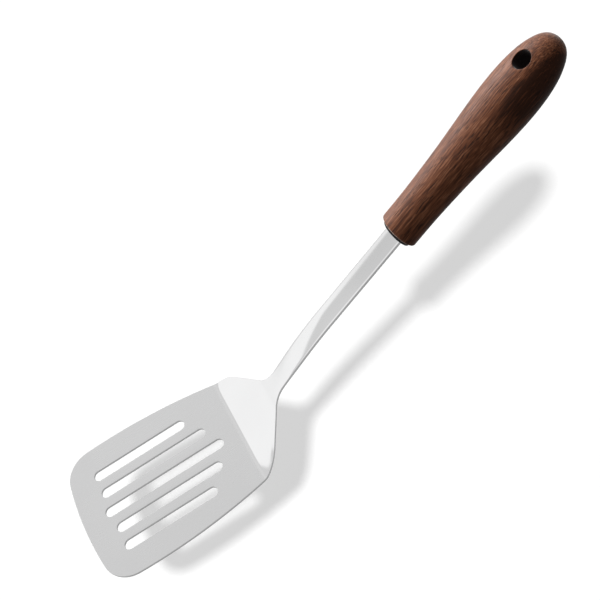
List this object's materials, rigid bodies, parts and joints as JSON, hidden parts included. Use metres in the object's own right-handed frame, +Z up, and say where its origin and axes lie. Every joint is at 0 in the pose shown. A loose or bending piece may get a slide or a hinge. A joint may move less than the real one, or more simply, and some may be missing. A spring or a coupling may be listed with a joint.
{
  "type": "slotted turner",
  "caption": "Slotted steel kitchen turner: flat blade with drain slots, raised shank, dark collar and an oval wooden handle with a hanging hole.",
  "frame": {"origin": "on the blade's underside, in the middle of the land between the centre slot and the fold", "axes": "+X from the blade to the handle, +Z up from the blade's underside, +Y across the blade"},
  "size_m": [0.3111, 0.0808, 0.1224],
  "materials": {
    "blade_and_shank": "fine satin on the blade, brighter on the neck and shank",
    "collar": "matte black",
    "handle": "dark walnut, oiled satin",
    "tang_bedding": "cured adhesive, hidden"
  },
  "bodies": {
    "root": {"blade_and_shank": "blade_and_shank", "collar": "collar", "handle": "handle", "tang_bedding": "tang_bedding"}
  },
  "joints": []
}
